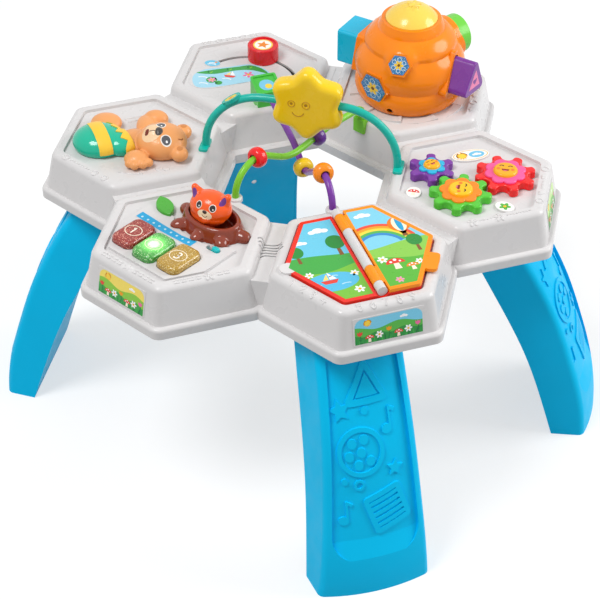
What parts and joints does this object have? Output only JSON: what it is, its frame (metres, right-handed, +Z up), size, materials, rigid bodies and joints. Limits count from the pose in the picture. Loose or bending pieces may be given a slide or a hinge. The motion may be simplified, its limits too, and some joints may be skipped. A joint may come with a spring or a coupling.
{
  "type": "activity table",
  "caption": "Toddler activity table: a ring of hexagonal play trays on splayed legs, with gears, keys, a page, a bear, a spinning hive with blocks and bead wires.",
  "frame": {"origin": "on the floor below the middle of the ring of trays", "axes": "+Z up, +X towards the tray with the gear wheels, +Y towards the hive and slider side"},
  "size_m": [0.744, 0.7202, 0.4669],
  "materials": {
    "white": "gloss",
    "base_grey": "gloss",
    "leg_blue": "gloss",
    "screw_steel": "gloss",
    "cell": "gloss",
    "board_green": "matt",
    "pad_grey": "matt",
    "speaker_black": "matt",
    "tan": "gloss",
    "teal_green": "gloss",
    "yellow": "gloss",
    "key_red": "gloss",
    "key_green": "gloss",
    "key_gold": "gloss",
    "teal": "gloss",
    "brown": "gloss",
    "fox_orange": "gloss",
    "leaf_green": "gloss",
    "print": "matt",
    "spine_white": "gloss",
    "page_orange": "gloss",
    "wheel_green": "gloss",
    "wheel_red": "gloss",
    "purple": "gloss",
    "pink": "gloss",
    "sky": "gloss",
    "hive_orange": "gloss"
  },
  "bodies": {
    "table": {"shell_gears_hive": "white", "shell_pond_bear": "white", "shell_fox_book": "white", "base_gears_hive": "base_grey", "base_pond_bear": "base_grey", "base_fox_book": "base_grey", "base_screws": "screw_steel", "leg_gears": "leg_blue", "leg_pond": "leg_blue", "leg_bear": "leg_blue", "leg_book": "leg_blue", "leg_cover_gears": "leg_blue", "leg_cover_pond": "leg_blue", "leg_cover_bear": "leg_blue", "leg_cover_book": "leg_blue", "leg_screws": "screw_steel", "battery_door": "base_grey", "batteries": "cell", "circuit_board": "board_green", "key_pads": "pad_grey", "speaker": "speaker_black", "tree_stump": "brown", "leaf": "leaf_green", "labels": "print", "book_board": "print", "book_spine": "spine_white", "garden_plaques": "print", "hive_spindle": "spine_white", "picture_box": "wheel_green", "teal_arch": "teal", "green_wire": "wheel_green", "purple_wire": "purple"},
    "bear": {"bear_figure": "tan", "bear_tummy": "teal_green", "bear_trim": "yellow"},
    "hive": {"hive_shell": "hive_orange", "hive_plaques": "print"},
    "wheel_green": {"wheel_green": "wheel_green", "petals_green": "page_orange"},
    "wheel_red": {"wheel_red": "wheel_red", "petals_red": "pink"},
    "wheel_purple": {"wheel_purple": "purple", "petals_purple": "sky"},
    "hive_button": {"hive_button": "yellow"},
    "block_blue": {"block_blue": "sky"},
    "block_green": {"block_green": "wheel_green"},
    "block_purple": {"block_purple": "purple"},
    "key_red": {"key_red": "key_red"},
    "key_green": {"key_green": "key_green"},
    "key_gold": {"key_gold": "key_gold"},
    "mode_switch": {"mode_switch": "teal"},
    "fox_head": {"fox_head": "fox_orange"},
    "flip_page": {"flip_page": "page_orange"},
    "slider_drum": {"slider_drum": "wheel_red"},
    "star": {"star": "yellow"},
    "bead_red": {"bead_red": "wheel_red"},
    "bead_purple": {"bead_purple": "purple"},
    "bead_orange": {"bead_orange": "page_orange"},
    "bead_yellow": {"bead_yellow": "yellow"}
  },
  "joints": [
    {"name": "bear_swivel", "type": "hinge", "parent": "table", "child": "bear", "pos_m": [-0.2, -0.008, 0.345], "axis": [0, 0, 1], "range_deg": [-8, 8]},
    {"name": "hive_spin", "type": "hinge", "parent": "table", "child": "hive", "pos_m": [0.1, 0.1732, 0.39], "axis": [0, 0, 1], "continuous": true},
    {"name": "hive_button_press", "type": "slide", "parent": "hive", "child": "hive_button", "axis": [0, 0, -1], "range_m": [0, 0.003], "stiffness_N_per_m": 900},
    {"name": "block_blue_pull", "type": "slide", "parent": "hive", "child": "block_blue", "axis": [-0.9397, 0.342, 0], "range_m": [0, 0.06]},
    {"name": "block_green_pull", "type": "slide", "parent": "hive", "child": "block_green", "axis": [0.6428, 0.766, 0], "range_m": [0, 0.06]},
    {"name": "block_purple_pull", "type": "slide", "parent": "hive", "child": "block_purple", "axis": [0.9336, -0.3584, 0], "range_m": [0, 0.06]},
    {"name": "key_red_press", "type": "slide", "parent": "table", "child": "key_red", "axis": [0, 0, -1], "range_m": [0, 0.003], "stiffness_N_per_m": 700},
    {"name": "key_green_press", "type": "slide", "parent": "table", "child": "key_green", "axis": [0, 0, -1], "range_m": [0, 0.003], "stiffness_N_per_m": 700},
    {"name": "key_gold_press", "type": "slide", "parent": "table", "child": "key_gold", "axis": [0, 0, -1], "range_m": [0, 0.003], "stiffness_N_per_m": 700},
    {"name": "mode_slide", "type": "slide", "parent": "table", "child": "mode_switch", "axis": [0.866, -0.5, 0], "range_m": [-0.008, 0]},
    {"name": "fox_press", "type": "slide", "parent": "table", "child": "fox_head", "axis": [0, 0, -1], "range_m": [0, 0.006], "stiffness_N_per_m": 500},
    {"name": "page_turn", "type": "hinge", "parent": "table", "child": "flip_page", "pos_m": [0.1, -0.1732, 0.351], "axis": [0.5, -0.866, 0], "range_deg": [0, 180]},
    {"name": "green_spin", "type": "hinge", "parent": "table", "child": "wheel_green", "pos_m": [0.193, -0.04, 0.35], "axis": [0, 0, 1], "continuous": true},
    {"name": "red_spin", "type": "hinge", "parent": "table", "child": "wheel_red", "pos_m": [0.23857, 0.00719, 0.35], "axis": [0, 0, 1], "continuous": true},
    {"name": "purple_spin", "type": "hinge", "parent": "table", "child": "wheel_purple", "pos_m": [0.15385, 0.00198, 0.35], "axis": [0, 0, 1], "continuous": true},
    {"name": "drum_slide", "type": "hinge", "parent": "table", "child": "slider_drum", "pos_m": [-0.1, 0.15121, 0.345], "axis": [0, 0, 1], "range_deg": [-57, 51]},
    {"name": "star_spin", "type": "hinge", "parent": "table", "child": "star", "pos_m": [0.008, 0, 0.422], "axis": [1, 0, 0], "continuous": true},
    {"name": "bead_red_run", "type": "hinge", "parent": "table", "child": "bead_red", "pos_m": [-0.039, -0.06755, 0.35], "axis": [0.866, -0.5, 0], "range_deg": [-10, 70]},
    {"name": "bead_purple_run", "type": "slide", "parent": "table", "child": "bead_purple", "axis": [0.4951, 0.8576, 0.1392], "range_m": [-0.018, 0.005]},
    {"name": "bead_orange_run", "type": "hinge", "parent": "table", "child": "bead_orange", "pos_m": [0.042, -0.07275, 0.348], "axis": [0.866, 0.5, 0], "range_deg": [-8, 68]},
    {"name": "bead_yellow_run", "type": "hinge", "parent": "table", "child": "bead_yellow", "pos_m": [0.00488, -0.00846, 0.36683], "axis": [0.866, 0.5, 0], "range_deg": [-22, 8]}
  ],
  "couplings": [
    {"joint": "red_spin", "follows": "green_spin", "ratio": -1},
    {"joint": "purple_spin", "follows": "green_spin", "ratio": -1.3333}
  ]
}
